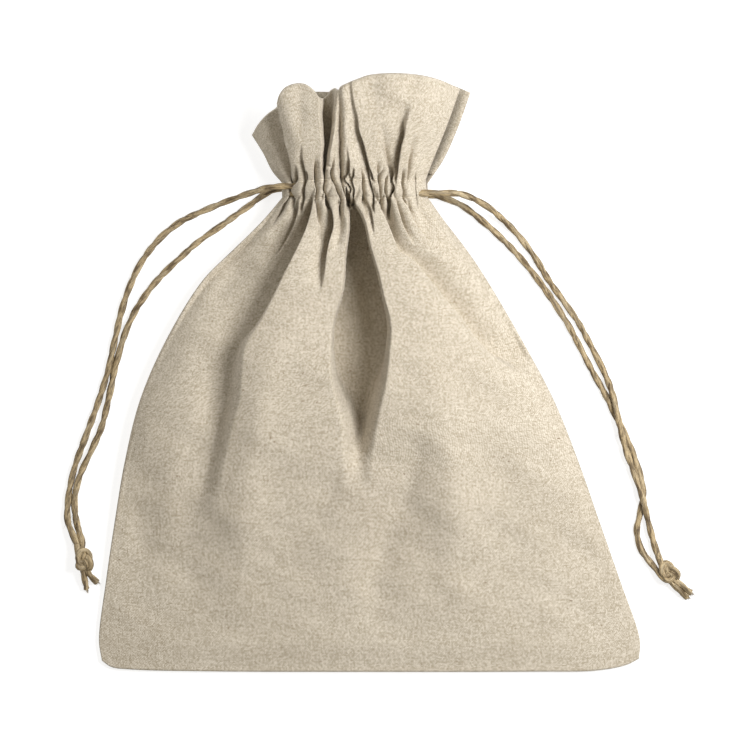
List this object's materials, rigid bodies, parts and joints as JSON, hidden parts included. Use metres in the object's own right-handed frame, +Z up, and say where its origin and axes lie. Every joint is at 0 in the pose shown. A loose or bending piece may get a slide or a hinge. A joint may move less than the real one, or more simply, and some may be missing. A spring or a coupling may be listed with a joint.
{
  "type": "drawstring gift pouch",
  "caption": "Flat linen gift pouch lying on its back, its neck gathered by cords that run through stitched channels below an open ruffle and end in knots.",
  "frame": {"origin": "under the middle of the cloth, on the surface that the pouch rests on", "axes": "+Y from the bottom seam towards the mouth, +X to the right seen from above, +Z up through the thickness, from the back panel to the front panel"},
  "size_m": [0.2365, 0.2249, 0.027],
  "materials": {
    "linen_cloth": "matte natural linen and cotton plain weave with darker flecks and slubs",
    "sewing_thread": "matte spun thread, a little lighter than the cloth",
    "hemp_twine": "lightly waxed two-ply brown hemp twine with loose fibres"
  },
  "bodies": {
    "pouch": {"front_panel": "linen_cloth", "back_panel": "linen_cloth", "left_side_seam": "linen_cloth", "right_side_seam": "linen_cloth", "bottom_seam": "linen_cloth", "front_casing": "linen_cloth", "back_casing": "linen_cloth", "front_lower_stitching": "sewing_thread", "front_upper_stitching": "sewing_thread", "back_lower_stitching": "sewing_thread", "back_upper_stitching": "sewing_thread", "left_cord_in_channel": "hemp_twine", "right_cord_in_channel": "hemp_twine"},
    "front_ruffle_half": {"front_ruffle": "linen_cloth", "front_facing": "linen_cloth", "front_left_slit_hem": "linen_cloth", "front_right_slit_hem": "linen_cloth"},
    "back_ruffle_half": {"back_ruffle": "linen_cloth", "back_facing": "linen_cloth", "back_left_slit_hem": "linen_cloth", "back_right_slit_hem": "linen_cloth"},
    "left_drawstring": {"left_front_strand": "hemp_twine", "left_back_strand": "hemp_twine", "left_knot": "hemp_twine"},
    "right_drawstring": {"right_front_strand": "hemp_twine", "right_back_strand": "hemp_twine", "right_knot": "hemp_twine"}
  },
  "joints": [
    {"name": "left_drawstring_pull", "type": "slide", "parent": "pouch", "child": "left_drawstring", "axis": [-1, 0, 0], "range_m": [0, 0.014]},
    {"name": "right_drawstring_pull", "type": "slide", "parent": "pouch", "child": "right_drawstring", "axis": [1, 0, 0], "range_m": [0, 0.014]},
    {"name": "front_ruffle_open", "type": "hinge", "parent": "pouch", "child": "front_ruffle_half", "pos_m": [0, 0.0733, 0.0183], "axis": [1, 0, 0], "range_deg": [0, 60]},
    {"name": "back_ruffle_open", "type": "hinge", "parent": "pouch", "child": "back_ruffle_half", "pos_m": [0, 0.0733, 0], "axis": [-1, 0, 0], "range_deg": [0, 45]}
  ]
}
